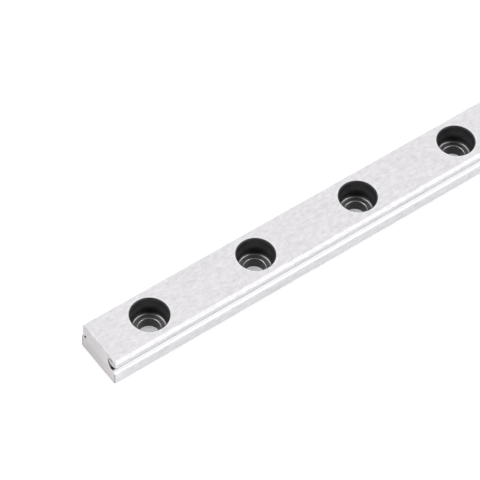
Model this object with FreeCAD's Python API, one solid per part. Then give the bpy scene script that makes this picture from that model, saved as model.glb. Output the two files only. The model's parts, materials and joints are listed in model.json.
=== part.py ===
import FreeCAD, Part

import math
import os

# Profile linear guide rail of the 9 mm miniature size: one straight bar of hardened steel, ground all
# over, that a ball carriage runs along. Units are millimetres. X runs along the rail, with the end that
# is looked at in -X and the side that is looked at in -Y. Z is up, and the origin is the middle of the
# underside.

# Bar. The breaks along its top edges are steeper than 45 degrees.
rail_length = 100.0
rail_width = 9.0
rail_height = 5.5
top_break_across = 0.42
top_break_down = 0.58
bottom_break = 0.33

# Ball raceway along each side: a Gothic arch with a narrow relief slot at its root
ball_diameter = 1.5875
groove_conformity = 0.52
contact_angle = 45.0
ball_line_below_top = 2.2
groove_depth = 0.6
relief_slot_width = 0.52
relief_slot_depth = 0.65

# Row of screw holes down the middle, each counterbored so that a socket head cap screw sits flush. The
# seat runs into the wall in a round corner, and its inner edge is rounded off.
hole_pitch = 20.0
first_hole_inset = 9.4
least_hole_inset = 5.0
counterbore_diameter = 6.0
counterbore_depth = 3.5
seat_corner_radius = 0.6
seat_edge_radius = 0.1
counterbore_rim_break = 0.18
screw_hole_diameter = 3.5
screw_hole_foot_break = 0.05

# Ends, cut off square. The head gets the wider break, for the carriage to slide on over.
head_end_break = 0.34
body_end_break = 0.15

# Shallow chip broken out of the near end, above the relief slot on the near side
chip_width = 1.86
chip_depth = 0.4
chip_from_flank = 0.98
chip_below_top = 1.33

flank_y = rail_width / 2
end_x = rail_length / 2
ball_line_z = rail_height - ball_line_below_top


def section_point(y, z):
    """A point of the cross-section, drawn in the plane of the near end."""
    return FreeCAD.Vector(-end_x, y, z)


def raceway_arc(centre_y, centre_z, radius, side, start_z, end_z):
    """One of the two arcs of the Gothic arch, between two heights. It is hollow towards the outside."""
    def arc_y(z):
        return centre_y - math.sqrt(radius ** 2 - (z - centre_z) ** 2)

    heights = (start_z, (start_z + end_z) / 2, end_z)
    points = [section_point(side * arc_y(z), z) for z in heights]
    return Part.Arc(*points).toShape()


def side_edges(side):
    """Outline of one side of the bar, from the top face down to the underside; side is 1 or -1."""
    radius = groove_conformity * ball_diameter
    shift_up = (radius - ball_diameter / 2) * math.sin(math.radians(contact_angle))
    root_y = flank_y - groove_depth
    centre_y = root_y + math.sqrt(radius ** 2 - shift_up ** 2)
    upper_centre_z = ball_line_z - shift_up
    lower_centre_z = ball_line_z + shift_up
    chord_half = math.sqrt(radius ** 2 - (centre_y - flank_y) ** 2)
    slot_top = ball_line_z + relief_slot_width / 2
    slot_foot = ball_line_z - relief_slot_width / 2
    slot_floor_y = root_y - relief_slot_depth

    upper_arc = raceway_arc(centre_y, upper_centre_z, radius, side, upper_centre_z + chord_half, slot_top)
    lower_arc = raceway_arc(centre_y, lower_centre_z, radius, side, slot_foot, lower_centre_z - chord_half)
    head = [
        section_point(side * (flank_y - top_break_across), rail_height),
        section_point(side * flank_y, rail_height - top_break_down),
        upper_arc.firstVertex().Point,
    ]
    slot = [
        upper_arc.lastVertex().Point,
        section_point(side * slot_floor_y, slot_top),
        section_point(side * slot_floor_y, slot_foot),
        lower_arc.firstVertex().Point,
    ]
    body = [
        lower_arc.lastVertex().Point,
        section_point(side * flank_y, bottom_break),
        section_point(side * (flank_y - bottom_break), 0),
    ]
    edges = [upper_arc, lower_arc]
    for run in (head, slot, body):
        edges += Part.makePolygon(run).Edges
    return edges


def plain_bar():
    """The cross-section, drawn at the near end and run along the whole length."""
    top_half = flank_y - top_break_across
    foot_half = flank_y - bottom_break
    edges = side_edges(1) + side_edges(-1)
    edges.append(Part.makeLine(section_point(-top_half, rail_height), section_point(top_half, rail_height)))
    edges.append(Part.makeLine(section_point(-foot_half, 0), section_point(foot_half, 0)))
    outline = Part.Wire(Part.__sortEdges__(edges))
    return Part.Face(outline).extrude(FreeCAD.Vector(rail_length, 0, 0))


def break_cutter(corner, inward, across, run):
    """A three-sided prism that takes a 45 degree break off one edge of an end.

    inward and across are the two legs of the break, measured from the corner, and run goes along the edge.
    """
    outer = corner - inward - across
    points = [outer, outer + inward * 3, outer + across * 3, outer]
    return Part.Face(Part.makePolygon(points)).extrude(run)


def end_break_cutters(end):
    """Breaks round one end, over the head and round the body below the ball line; end is 1 or -1."""
    x = end * end_x
    across_rail = FreeCAD.Vector(0, 2 * rail_width, 0)
    up = FreeCAD.Vector(0, 0, rail_height)
    head_in = FreeCAD.Vector(-end * head_end_break, 0, 0)
    body_in = FreeCAD.Vector(-end * body_end_break, 0, 0)
    top_corner = FreeCAD.Vector(x, -rail_width, rail_height)
    foot_corner = FreeCAD.Vector(x, -rail_width, 0)
    cutters = [
        break_cutter(top_corner, head_in, FreeCAD.Vector(0, 0, -head_end_break), across_rail),
        break_cutter(foot_corner, body_in, FreeCAD.Vector(0, 0, body_end_break), across_rail),
    ]
    for side in (-1, 1):
        corner = FreeCAD.Vector(x, side * flank_y, ball_line_z)
        cutters.append(break_cutter(corner, head_in, FreeCAD.Vector(0, -side * head_end_break, 0), up))
        cutters.append(break_cutter(corner, body_in, FreeCAD.Vector(0, -side * body_end_break, 0), -up))
    return cutters


def hole_centres():
    """Places of the screw holes along X, as many as the length has room for."""
    room = rail_length - first_hole_inset - least_hole_inset
    count = math.floor(room / hole_pitch) + 1
    return [-end_x + first_hole_inset + hole_pitch * index for index in range(count)]


def quarter_arc(centre, radius, first_angle):
    """A quarter circle that runs anticlockwise in the XZ plane from its first angle, in degrees."""
    angles = [math.radians(first_angle + turn) for turn in (0, 45, 90)]
    points = [centre + FreeCAD.Vector(math.cos(a), 0, math.sin(a)) * radius for a in angles]
    return Part.Arc(*points).toShape()


def hole_cutter(x):
    """The shape of one counterbored hole, turned about its axis."""
    over = rail_height
    screw_r = screw_hole_diameter / 2
    wall_r = counterbore_diameter / 2
    seat_z = rail_height - counterbore_depth

    def at(r, z):
        return FreeCAD.Vector(x + r, 0, z)

    edge = quarter_arc(at(screw_r + seat_edge_radius, seat_z - seat_edge_radius), seat_edge_radius, 90)
    corner = quarter_arc(at(wall_r - seat_corner_radius, seat_z + seat_corner_radius), seat_corner_radius, 270)
    foot = [
        at(0, -over),
        at(screw_r + screw_hole_foot_break + over, -over),
        at(screw_r, screw_hole_foot_break),
        edge.lastVertex().Point,
    ]
    seat = [edge.firstVertex().Point, corner.firstVertex().Point]
    mouth = [
        corner.lastVertex().Point,
        at(wall_r, rail_height - counterbore_rim_break),
        at(wall_r + counterbore_rim_break + over, rail_height + over),
        at(0, rail_height + over),
        foot[0],
    ]
    edges = [edge, corner]
    for run in (foot, seat, mouth):
        edges += Part.makePolygon(run).Edges
    face = Part.Face(Part.Wire(Part.__sortEdges__(edges)))
    return face.revolve(FreeCAD.Vector(x, 0, 0), FreeCAD.Vector(0, 0, 1), 360)


def chip_cutter():
    """A ball that scoops the chip out of the end face, as wide and as deep as the chip."""
    radius = (chip_width ** 2 / 4 + chip_depth ** 2) / (2 * chip_depth)
    x = -end_x + chip_depth - radius
    return Part.makeSphere(radius, FreeCAD.Vector(x, chip_from_flank - flank_y, rail_height - chip_below_top))


def guide_rail():
    """The bar with its ends broken, its holes bored and the chip taken out."""
    cutters = end_break_cutters(-1) + end_break_cutters(1)
    cutters += [hole_cutter(x) for x in hole_centres()]
    cutters.append(chip_cutter())
    return plain_bar().cut(cutters)


rail = guide_rail()
os.makedirs("parts", exist_ok=True)
rail.Solids[0].exportStep("parts/guide_rail.step")
print("guide_rail:", len(rail.Solids), "solid, valid", rail.isValid(), "volume mm3", round(rail.Volume, 2))
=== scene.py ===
import json
import math

import bpy
from mathutils import Matrix, Vector


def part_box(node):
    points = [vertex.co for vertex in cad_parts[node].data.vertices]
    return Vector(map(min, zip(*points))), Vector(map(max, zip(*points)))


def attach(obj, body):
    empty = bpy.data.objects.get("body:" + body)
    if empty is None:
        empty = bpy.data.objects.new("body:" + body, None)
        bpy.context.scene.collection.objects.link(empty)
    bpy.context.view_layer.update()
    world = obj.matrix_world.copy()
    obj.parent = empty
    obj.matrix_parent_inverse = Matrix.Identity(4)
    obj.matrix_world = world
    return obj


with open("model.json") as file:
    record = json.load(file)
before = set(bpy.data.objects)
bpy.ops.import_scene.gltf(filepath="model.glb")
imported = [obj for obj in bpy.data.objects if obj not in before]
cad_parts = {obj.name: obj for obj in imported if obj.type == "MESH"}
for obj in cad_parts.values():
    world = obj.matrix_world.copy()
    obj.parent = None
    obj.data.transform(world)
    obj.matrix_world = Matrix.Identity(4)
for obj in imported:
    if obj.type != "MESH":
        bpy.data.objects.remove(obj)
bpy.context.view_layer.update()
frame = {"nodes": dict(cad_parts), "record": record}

# The rail: one bar of hardened bearing steel. Its top, flanks and raceways are ground bright along the
# length, its ends are cut off with an abrasive disc, and its bores and relief slots keep the black scale
# of the hardening.
rail = frame["nodes"]["guide_rail"]
mm = 0.001

# Sizes in millimetres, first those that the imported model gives
end_x, flank_y, rail_height = [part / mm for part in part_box("guide_rail")[1]]
mounts = {mount["name"]: mount for mount in frame["record"]["mounts"]}
first_hole_x = mounts["screw_hole_1"]["pos_m"][0] / mm
hole_pitch = mounts["screw_hole_2"]["pos_m"][0] / mm - first_hole_x
screw_hole_radius = mounts["screw_hole_1"]["dims"]["r_mm"]
counterbore_radius = mounts["counterbore_1"]["dims"]["r_mm"]
ball_line_z = mounts["carriage_track"]["pos_m"][2] / mm
counterbore_depth = 3.5
seat_corner_radius = 0.6
seat_edge_radius = 0.1
rim_break = 0.18
groove_half = 0.79
groove_depth = 0.6
relief_slot_width = 0.52
relief_slot_depth = 0.65
top_break_across = 0.42
bottom_break = 0.33
head_end_break = 0.34
body_end_break = 0.15

# How far one finish takes to give way to the next, at a sharp border and at a soft one
hairline = 0.01
blur = 0.05

# Marks which have no form of their own: some of wear and handling, some painted highlights and painted
# shade
rim_ring_width = 0.20
rim_ring_blur = 0.12
seat_arc_inset = 0.12
seat_arc_width = 0.13
seat_arc_height = 0.10
scale_below_seat = 0.15
edge_highlight_width = 0.10
break_shade_below_top = 0.24
break_shade_blur = 0.14
worn_end_length = 1.4
worn_end_core = 0.5
end_line_width = 0.20
foot_shadow_width = 0.10
slot_lip_highlight_width = 0.09
slot_mouth_margin = 0.03

# The chip in the near end is part of a ball. A crack and a torn margin, parts of two smaller balls round
# points of the end face, run above and below it. All three are painted dark: painted shade in their
# hollows.
chip_middle = (-50.881, -3.52, 4.17)
chip_radius = 1.281
crack_middle = (-50, -3.45, 4.15)
crack_radii = (0.96, 1.05)
crack_blur = 0.06
crack_foot_z = 4.5
crack_full_z = 4.9
tear_middle = (-50, -3.45, 3.55)
tear_radius = 0.57
tear_blur = 0.08

ground_colour = (0.590, 0.578, 0.594, 1)
head_side_colour = (0.555, 0.549, 0.556, 1)
flank_colour = (0.660, 0.646, 0.656, 1)
raceway_colour = (0.52, 0.515, 0.525, 1)
cut_end_colour = (0.505, 0.484, 0.486, 1)
end_break_colour = (0.44, 0.43, 0.44, 1)
# A dark line on the end face, which along its foot is a painted contact shadow
end_line_and_shadow_colour = (0.25, 0.243, 0.247, 1)
scale_colour = (0.024, 0.024, 0.026, 1)
seat_colour = (0.150, 0.147, 0.147, 1)
seat_corner_colour = (0.20, 0.20, 0.20, 1)
seat_edge_colour = (0.48, 0.48, 0.47, 1)
# Painted shade for the chip's hollow, the crack, the torn margin and the slots' mouths
recess_shade_colour = (0.09, 0.086, 0.082, 1)
# Painted highlight on the relief slot's lower lip
slot_lip_highlight_colour = (0.70, 0.69, 0.70, 1)


class Field:
    """A value, vector or colour that varies over a surface: an output socket of a node tree."""

    def __init__(self, socket):
        self.socket = socket

    def node(self, kind, settings, sockets, output=0):
        """Another node of the same tree. Its settings are set first, then its sockets are set or linked."""
        tree = self.socket.id_data
        made = tree.nodes.new(kind)
        for name, value in settings.items():
            setattr(made, name, value)
        for name, value in sockets.items():
            if isinstance(value, Field):
                tree.links.new(value.socket, made.inputs[name])
            else:
                made.inputs[name].default_value = value
        return Field(made.outputs[output])

    def math(self, operation, *values):
        """A Math node on these values."""
        return self.node("ShaderNodeMath", {"operation": operation}, dict(enumerate(values)))

    def __add__(self, other):
        return self.math("ADD", self, other)

    def __sub__(self, other):
        return self.math("SUBTRACT", self, other)

    def __rsub__(self, other):
        return self.math("SUBTRACT", other, self)

    def __mul__(self, other):
        return self.math("MULTIPLY", self, other)

    __radd__ = __add__
    __rmul__ = __mul__

    def rise(self, low, high):
        """0 below low, 1 above high, and a smooth slope between."""
        sockets = {"Value": self, "From Min": low, "From Max": high}
        return self.node("ShaderNodeMapRange", {"interpolation_type": "SMOOTHSTEP"}, sockets)

    def above(self, level, soft=hairline):
        """1 from the level up, and 0 more than soft under it."""
        return self.rise(level - soft, level)

    def below(self, level, soft=hairline):
        """1 from the level down, and 0 more than soft over it."""
        return 1 - self.rise(level, level + soft)

    def between(self, low, high, soft=hairline):
        """1 between low and high, and 0 outside them by more than soft."""
        return self.above(low, soft) * self.below(high, soft)

    def axes(self):
        """The three parts of a vector."""
        return [self.node("ShaderNodeSeparateXYZ", {}, {0: self}, output) for output in range(3)]

    def stretched(self, x, y, z):
        """A place, with each of its axes multiplied by its own factor."""
        return self.node("ShaderNodeVectorMath", {"operation": "MULTIPLY"}, {0: self, 1: (x, y, z)})

    def distance(self, point):
        """How far a place is from a point."""
        return self.node("ShaderNodeVectorMath", {"operation": "DISTANCE"}, {0: self, 1: point}, "Value")

    def dot(self, other):
        """How far a direction goes along another one."""
        return self.node("ShaderNodeVectorMath", {"operation": "DOT_PRODUCT"}, {0: self, 1: other}, "Value")

    def noise(self, detail, roughness=0.5):
        """Soft noise from 0 to 1 at this place, one lump to each unit."""
        sockets = {"Vector": self, "Scale": 1.0, "Detail": detail, "Roughness": roughness}
        return self.node("ShaderNodeTexNoise", {}, sockets)

    def swing(self, size):
        """A pattern from 0 to 1, moved to swing about 0, with this size from end to end."""
        return (self - 0.5) * size


def scaled(colour, factor):
    """A colour times a value that varies."""
    return factor.node("ShaderNodeVectorMath", {"operation": "SCALE"}, {0: colour[:3], "Scale": factor})


def either(first, second):
    """The larger of two masks."""
    return first.math("MAXIMUM", first, second)


def overlaid(under, mask, over):
    """The colour under, with the colour over on top of it where the mask is 1."""
    made = mask.socket.id_data.nodes.new("ShaderNodeMix")
    made.data_type = "RGBA"
    colour_inputs = [socket for socket in made.inputs if socket.type == "RGBA"]
    for socket, value in zip([made.inputs[0], *colour_inputs], [mask, under, over]):
        if isinstance(value, Field):
            made.id_data.links.new(value.socket, socket)
        else:
            socket.default_value = value
    return Field([socket for socket in made.outputs if socket.type == "RGBA"][0])


def new_material(name):
    """A material and its main shader."""
    material = bpy.data.materials.new(name)
    material.use_nodes = True
    return material, material.node_tree.nodes["Principled BSDF"]


def place_in(material):
    """The Object coordinates in a material, in millimetres."""
    coordinates = Field(material.node_tree.nodes.new("ShaderNodeTexCoord").outputs["Object"])
    return coordinates.stretched(1 / mm, 1 / mm, 1 / mm)


def plug(shader, **values):
    """Sets or links sockets of a shader. A name's underscore is a space there."""
    for name, value in values.items():
        socket = shader.inputs[name.replace("_", " ")]
        if isinstance(value, Field):
            shader.id_data.links.new(value.socket, socket)
        else:
            socket.default_value = value


steel, steel_shader = new_material("ground_steel")
place = place_in(steel)
x, y, z = place.axes()
along = x.math("ABSOLUTE", x)
across = y.math("ABSOLUTE", y)
from_first = x - first_hole_x + hole_pitch / 2
hole_x = from_first.math("FLOORED_MODULO", from_first, hole_pitch) - hole_pitch / 2
radius = hole_x.math("SQRT", hole_x * hole_x + y * y)

# Each mask is 1 where its finish is. First the top and the cut end faces, which others lie on or beside.
on_top = z.above(rail_height, 2 * hairline)
end_face = along.above(end_x - 0.5 * hairline, 1.5 * hairline)
beside_end = 1 - end_face

# The bores: their scale, the light ring round each rim, the seat, and the bare arcs in the seat's corner
# and on its inner edge
seat_z = rail_height - counterbore_depth
rim_radius = counterbore_radius + rim_break
corner_radius = counterbore_radius - seat_corner_radius
edge_radius = screw_hole_radius + seat_edge_radius
in_counterbore = radius.below(rim_radius - hairline) * z.above(seat_z - scale_below_seat, blur)
in_screw_hole = radius.below(screw_hole_radius + hairline, 2 * hairline)
in_bore = either(in_counterbore, in_screw_hole)
ring_radius = rim_radius + 2 * hairline
rim_ring = radius.between(ring_radius, ring_radius + rim_ring_width, rim_ring_blur) * on_top
at_seat = z.between(seat_z - hairline, seat_z + 2 * hairline)
at_seat = at_seat * radius.between(edge_radius, rim_radius, 3 * hairline)
arc_radius = corner_radius + seat_arc_inset
corner = radius.between(arc_radius, arc_radius + seat_arc_width, blur)
corner = corner * z.between(seat_z, seat_z + seat_arc_height, blur)
edge_foot_z = seat_z - seat_edge_radius - 2 * hairline
edge = radius.between(screw_hole_radius + hairline, edge_radius, 2 * hairline)
edge = edge * z.between(edge_foot_z, seat_z + seat_arc_height, 2 * hairline)
bare_edge = either(corner, edge)

# The sides: the head's, the plain flank, and the raceway between them with its relief slot, and a painted
# highlight on the slot's lower lip
groove_top_z = ball_line_z + groove_half
groove_foot_z = ball_line_z - groove_half
root_y = flank_y - groove_depth
slot_floor_y = root_y - relief_slot_depth
slot_top_z = ball_line_z + relief_slot_width / 2
slot_foot_z = ball_line_z - relief_slot_width / 2
under_groove = z.below(groove_foot_z - 2 * hairline, 2 * hairline)
head_side = across.above(flank_y - top_break_across + hairline) * z.above(groove_top_z)
flank = across.above(flank_y - bottom_break + hairline) * z.below(groove_foot_z - hairline, 2 * hairline)
groove = across.below(flank_y - 2 * hairline, 1.5 * hairline)
groove = groove * z.between(groove_foot_z, groove_top_z, 2 * hairline)
root = groove * across.below(root_y - 3 * hairline, 0.12)
# A painted highlight: a light grey, non-metal line on the relief slot's lower lip.
slot_lip_highlight = across.between(root_y - slot_lip_highlight_width, root_y, blur) * beside_end
slot_lip_highlight = slot_lip_highlight * z.between(slot_foot_z - hairline, slot_foot_z + 2 * hairline)

# The ends: the breaks round them with painted shade low on the head's break, the painted highlight line and
# the worn stretch of the top along them, and the dark line on the face inside two of its edges, a painted
# contact shadow along the foot
head_break_x = end_x - head_end_break
head_break = along.above(head_break_x + hairline) * beside_end
head_break = head_break * z.above(rail_height - head_end_break + 2 * hairline, 2 * hairline)
# Painted shade on the lower part of the head's end break.
break_foot_shade = head_break * z.below(rail_height - break_shade_below_top, break_shade_blur)
# A painted highlight: a light line on the top along each end break.
edge_highlight_line = along.between(head_break_x - edge_highlight_width, head_break_x, 4 * hairline) * on_top
worn_end = along.rise(end_x - worn_end_length, end_x - worn_end_core) * on_top
body_break = along.above(end_x - body_end_break + hairline, 2 * hairline) * beside_end * under_groove
line_y = flank_y - body_end_break
side_line = across.between(line_y - end_line_width, line_y, 2 * hairline) * under_groove
# The dark line along the end face's foot is a painted contact shadow.
foot_shadow_line = z.below(body_end_break + foot_shadow_width, 4 * hairline)
end_line_and_shadow = either(side_line, foot_shadow_line) * end_face

# The damage to the near end and the mouths of the relief slots: the chip's hollow, the crack, the torn
# margin and a rim round each slot's mouth are painted dark, painted shade
chip = place.distance(chip_middle).between(chip_radius - hairline, chip_radius + hairline, 2 * hairline)
crack_shade = place.distance(crack_middle).between(*crack_radii, crack_blur) * z.rise(crack_foot_z, crack_full_z)
tear_shade = place.distance(tear_middle).below(tear_radius, tear_blur) * end_face
mouth_foot_z = slot_foot_z - slot_mouth_margin
mouth_top_z = slot_top_z + slot_mouth_margin
slot_mouth_shade = across.between(slot_floor_y - slot_mouth_margin, root_y, blur) * end_face
slot_mouth_shade = slot_mouth_shade * z.between(mouth_foot_z, mouth_top_z, blur)
crack_darkness = 0.75
mouth_darkness = 0.95
recess_shade = either(either(chip, crack_shade * crack_darkness), either(tear_shade, slot_mouth_shade) * mouth_darkness)

# Patterns, with their lumps to the millimetre along the rail, across it and up: cloudy patches and grain
# of the ground faces, fine lines along them, the disc's marks on the cut ends, and turning rings
mottle = place.stretched(0.9, 1.6, 1.6).noise(detail=3, roughness=0.6)
grain = place.stretched(2.2, 3.5, 3.5).noise(detail=3, roughness=0.6)
fine_lines = place.stretched(0.12, 22, 22).noise(detail=2)
cut_marks = place.stretched(1.0, 7, 0.9).noise(detail=3)
patches = place.stretched(1.1, 1.1, 1.1).noise(detail=2)
rings_per_mm = 12
ring_wander = 0.4
turned = radius * rings_per_mm + mottle * ring_wander
rings = turned.math("SINE", turned * (2 * math.pi))

# The ground faces' brightness, and how much each mark adds to it: a painted highlight line at the end
# break, painted shade low on it
brightness = 1 + mottle.swing(0.44) + grain.swing(0.28) + fine_lines.swing(0.06)
for mark, gain in [(rim_ring, 0.04), (edge_highlight_line, 0.06), (worn_end, -0.03), (break_foot_shade, -0.22)]:
    brightness = brightness + mark * gain

# Painted shade darkens the raceway's foot to half, and painted shade darkens the cut ends towards the far
# side.
# The scale is painted lightest low on the counterbore's wall.
foot_shade = 0.5
raceway_painted_shade = foot_shade + (1 - foot_shade) * z.rise(groove_foot_z + 0.02, groove_foot_z + 0.12)
# The fall in brightness towards the far side of the cut ends is painted shade.
end_painted_shade_per_mm = 0.03
end_marks_and_shade = 1 + patches.swing(0.24) + cut_marks.swing(0.22) - y * end_painted_shade_per_mm
# The scale's brightness by height is painted light and shade.
scale_painted_light = 0.7 + z.rise(seat_z - 0.3, seat_z + 0.3) - z.rise(seat_z + 1.2, seat_z + 2.6) * 0.9
seat_shade = 1 + patches.swing(0.5)

# The finishes, with the painted highlight and painted shade among them, each laid over those before it
dark = either(in_bore, root * beside_end)
finishes = [
    (head_side, scaled(head_side_colour, brightness)),
    (flank, scaled(flank_colour, brightness)),
    (groove, scaled(raceway_colour, raceway_painted_shade)),
    (end_face, scaled(cut_end_colour, end_marks_and_shade)),
    (body_break, end_break_colour),
    (end_line_and_shadow, end_line_and_shadow_colour),
    (dark, scaled(scale_colour, scale_painted_light)),
    (slot_lip_highlight, slot_lip_highlight_colour),
    (recess_shade, recess_shade_colour),
    (at_seat, scaled(seat_colour, seat_shade)),
    (corner, seat_corner_colour),
    (edge, seat_edge_colour),
]
colour = scaled(ground_colour, brightness)
for mask, finish in finishes:
    colour = overlaid(colour, mask, finish)

# Scale isn't metal, and the chip's painted shade is less metallic. The seat is nearly bare, and the slot
# lip's painted highlight is not metal.
scaly = dark * (1 - bare_edge)
seat_bareness = 0.9
chip_shade_metal_loss = 0.3
metal = (1 - scaly * (1 - at_seat * seat_bareness) - chip * chip_shade_metal_loss) * (1 - slot_lip_highlight)
roughness = 0.30 + mottle.swing(0.08)
for mask, rougher in [(groove, -0.10), (end_face, 0.18), (scaly, 0.12)]:
    roughness = roughness + mask * rougher

grinding_depth = 0.002 * mm
ring_depth = 6
height = (grain + fine_lines) * 0.5 * (1 - in_bore) + rings * at_seat * ring_depth
bump = place.node("ShaderNodeBump", {}, {"Strength": 0.25, "Distance": grinding_depth, "Height": height})
plug(steel_shader, Base_Color=colour, Metallic=metal, Roughness=roughness, Normal=bump)
for material_slot in rail.material_slots:
    material_slot.material = steel

# The flake: a tongue of the end face that split away when the chip broke out. It still hangs on by its
# outer end, level with the face; the dark crack round the rest of it is painted shade on the end face.
flake_root = (-4.34, 4.36)
flake_tip = (-2.76, 4.40)
flake_half_height = 0.47
flake_sag = 0.10
flake_sunk = 0.02
flake_curl = 0.03
edge_curl = 0.4
flake_thickness = 0.10
root_thickness = 0.30
root_outline = 0.22
tip_outline = 0.92
stations = 14
ring_points = 16
torn_colour = (0.47, 0.455, 0.45, 1)

# Its outline follows a half sine between two of its points, and each station along it is a closed ring
flake_points = []
for station in range(stations + 1):
    gone = station / stations
    middle_y = flake_root[0] + (flake_tip[0] - flake_root[0]) * gone
    middle_z = flake_root[1] + (flake_tip[1] - flake_root[1]) * gone - flake_sag * math.sin(math.pi * gone)
    outline = root_outline + (tip_outline - root_outline) * gone
    half = flake_half_height * math.sqrt(math.sin(math.pi * outline))
    thickness = flake_thickness + (root_thickness - flake_thickness) * (1 - gone) ** 4
    behind_break = max(0, -middle_y - (flank_y - head_end_break))
    for step in range(ring_points):
        turn = 2 * math.pi * step / ring_points
        lift = math.cos(turn)
        face_x = -end_x + flake_sunk + behind_break + flake_curl * (gone ** 2 + edge_curl * lift ** 2)
        point_x = face_x + thickness * (1 - math.sin(turn)) / 2
        flake_points.append((point_x * mm, middle_y * mm, (middle_z + half * lift) * mm))

flake_faces = [tuple(range(ring_points))]
for station in range(stations):
    start = station * ring_points
    for step in range(ring_points):
        here = start + step
        beside = start + (step + 1) % ring_points
        flake_faces.append((here, here + ring_points, beside + ring_points, beside))
flake_faces.append(tuple(reversed(range(stations * ring_points, (stations + 1) * ring_points))))
flake_mesh = bpy.data.meshes.new("chip_flake")
flake_mesh.from_pydata(flake_points, [], flake_faces)
flake = bpy.data.objects.new("chip_flake", flake_mesh)
bpy.context.scene.collection.objects.link(flake)

torn_steel, torn_shader = new_material("torn_steel")
fibres = place_in(torn_steel).stretched(6, 2.5, 9).noise(detail=3)
fibre_depth = 0.01 * mm
bump = fibres.node("ShaderNodeBump", {}, {"Strength": 0.4, "Distance": fibre_depth, "Height": fibres})
plug(
    torn_shader,
    Base_Color=scaled(torn_colour, 0.8 + fibres * 0.4),
    Metallic=1.0,
    Roughness=0.40 + fibres * 0.2,
    Normal=bump,
)
flake_mesh.materials.append(torn_steel)
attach(flake, "root")

# The table: a sheet of white acrylic with a matt top, lit from underneath a little. It lies a hair below
# the rail's underside, so that the two faces don't coincide.
table_half = 2.0
table_gap = 0.02 * mm
table_corners = [
    (-table_half, -table_half, -table_gap),
    (table_half, -table_half, -table_gap),
    (table_half, table_half, -table_gap),
    (-table_half, table_half, -table_gap),
]
table_mesh = bpy.data.meshes.new("floor")
table_mesh.from_pydata(table_corners, [], [(0, 1, 2, 3)])
floor = bpy.data.objects.new("floor", table_mesh)
bpy.context.scene.collection.objects.link(floor)
acrylic, acrylic_shader = new_material("white_acrylic")
plug(
    acrylic_shader,
    Base_Color=(0.84, 0.845, 0.85, 1),
    Roughness=0.6,
    Specular_IOR_Level=0.2,
    Emission_Color=(0.96, 0.965, 1.0, 1),
    Emission_Strength=0.32,
)
table_mesh.materials.append(acrylic)

# The light: a white tent all round. Two equal soft lamps shine through it, left and right of the camera,
# and stop at a plain skirt below them. There is a faint glow low on the rail's near side, and a dark
# opening where the camera looks in.
world = bpy.data.worlds.new("tent")
bpy.context.scene.world = world
world.use_nodes = True
direction = Field(world.node_tree.nodes.new("ShaderNodeTexCoord").outputs["Generated"])


def pointing(azimuth, elevation):
    """A direction of length 1, from its angle round from +X and its angle above the table, in degrees."""
    turn = math.radians(azimuth)
    lift = math.radians(elevation)
    return Vector((math.cos(lift) * math.cos(turn), math.cos(lift) * math.sin(turn), math.sin(lift)))


def soft_patch(azimuth, elevation, inner, outer):
    """1 in a round patch of the tent, from its middle out to inner degrees, and 0 past outer degrees."""
    towards = direction.dot(pointing(azimuth, elevation))
    return towards.rise(math.cos(math.radians(outer)), math.cos(math.radians(inner)))


tent_strength = 1.3
lamp_strength = 3.3
glow_strength = 0.65
opening_depth = 0.95
skirt_foot, skirt_top = 38, 50
above_skirt = direction.dot((0, 0, 1)).rise(
    math.sin(math.radians(skirt_foot)), math.sin(math.radians(skirt_top))
)
lamps = (soft_patch(140, 55, 10, 28) + soft_patch(-40, 52, 10, 28)) * above_skirt
side_glow = soft_patch(-67, 10, 10, 24)
camera_opening = soft_patch(-126, 58, 28, 40)
radiance = tent_strength + lamps * lamp_strength + side_glow * glow_strength
radiance = radiance * (1 - camera_opening * opening_depth)
plug(world.node_tree.nodes["Background"], Strength=radiance, Color=(1.0, 0.998, 1.0, 1))

# The camera stands over the near end, at the distance and the angle that the hole spacing and the
# edges in the photograph give.
photo_px = 480
focal_px = 2509
sensor_mm = 36
first_hole_px = (149.56, 314.54)
camera_azimuth = -129.62
camera_elevation = 52.72
camera_roll = math.radians(4.0)
camera_distance = 0.3786
back = pointing(camera_azimuth, camera_elevation)
level = Vector((0, 0, 1)).cross(back).normalized()
upright = back.cross(level)
right = level * math.cos(camera_roll) + upright * math.sin(camera_roll)
up = upright * math.cos(camera_roll) - level * math.sin(camera_roll)
hole_top = Vector((first_hole_x, 0, rail_height)) * mm
shift_right = (first_hole_px[0] - photo_px / 2) / focal_px * camera_distance
shift_up = (photo_px / 2 - first_hole_px[1]) / focal_px * camera_distance
stand = hole_top - right * shift_right - up * shift_up + back * camera_distance
camera_data = bpy.data.cameras.new("camera")
camera_data.sensor_width = sensor_mm
camera_data.lens = sensor_mm * focal_px / photo_px
camera_data.clip_start = 0.01
camera = bpy.data.objects.new("camera", camera_data)
camera.matrix_world = Matrix.Translation(stand) @ Matrix((right, up, back)).transposed().to_4x4()
bpy.context.scene.collection.objects.link(camera)
bpy.context.scene.camera = camera
bpy.context.scene.view_settings.view_transform = "Standard"
